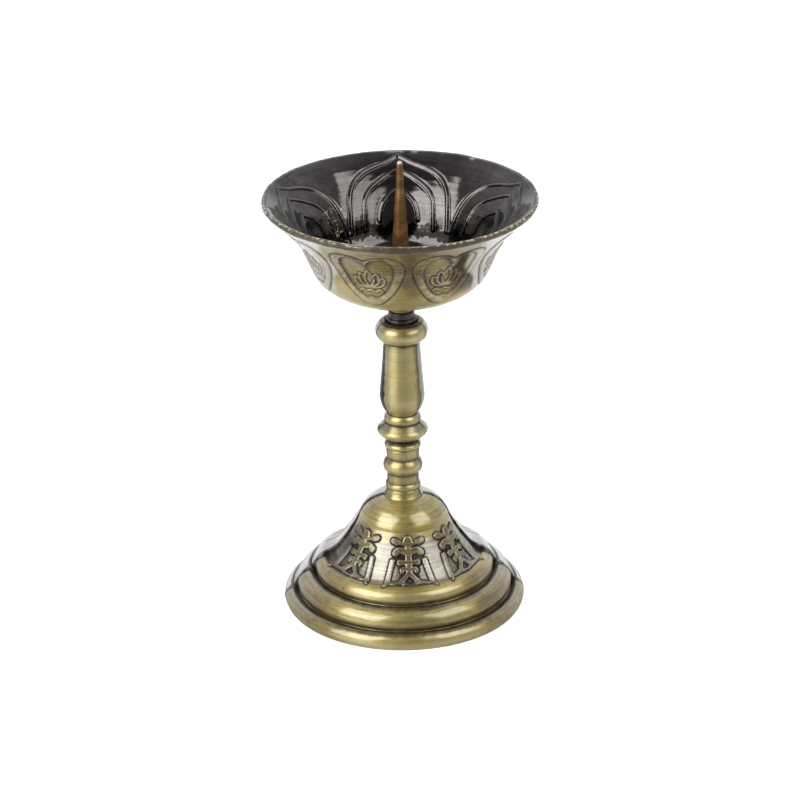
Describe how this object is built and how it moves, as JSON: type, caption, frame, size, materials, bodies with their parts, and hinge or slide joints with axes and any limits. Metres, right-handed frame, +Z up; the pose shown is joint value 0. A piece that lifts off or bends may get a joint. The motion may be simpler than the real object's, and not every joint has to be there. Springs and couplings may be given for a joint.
{
  "type": "butter lamp",
  "caption": "Brass altar butter lamp: a flared lotus bowl with a central candle spike, on a turned baluster stem and a ringed, domed foot; the bowl unscrews from the stem.",
  "frame": {"origin": "middle of the foot's underside, on the surface that the lamp stands on", "axes": "+Z up along the stem's axis, -Y towards the camera in the picture, +X to its right"},
  "size_m": [0.076, 0.076, 0.1331],
  "materials": {
    "antique_brass": "brushed brass with black patina in the grooves, lacquered",
    "bowl_brass": "brushed outside, blackened inside, bright worn rim",
    "dark_brass": "blackened, satin",
    "spike_metal": "copper-washed steel, tarnished",
    "copper": "soft copper washer",
    "washer_leather": "oiled leather",
    "steel": "zinc-plated steel, dulled"
  },
  "bodies": {
    "stand": {"base": "antique_brass", "lower_stem": "antique_brass", "upper_stem": "antique_brass", "tie_rod": "steel", "base_washer": "steel", "lock_washer": "steel", "base_nut": "steel"},
    "washer": {"collar_washer": "washer_leather"},
    "bowl_unit": {"bowl_collar": "dark_brass", "bowl": "bowl_brass", "spike_seal": "copper", "candle_spike": "spike_metal"}
  },
  "joints": [
    {"name": "bowl_turn", "type": "hinge", "parent": "stand", "child": "washer", "pos_m": [0, 0, 0.0817], "axis": [0, 0, 1], "range_deg": [0, 1800]},
    {"name": "bowl_rise", "type": "slide", "parent": "washer", "child": "bowl_unit", "axis": [0, 0, 1], "range_m": [0, 0.00401]}
  ],
  "couplings": [
    {"joint": "bowl_rise", "follows": "bowl_turn", "m_per_rad": 0.00012732}
  ]
}
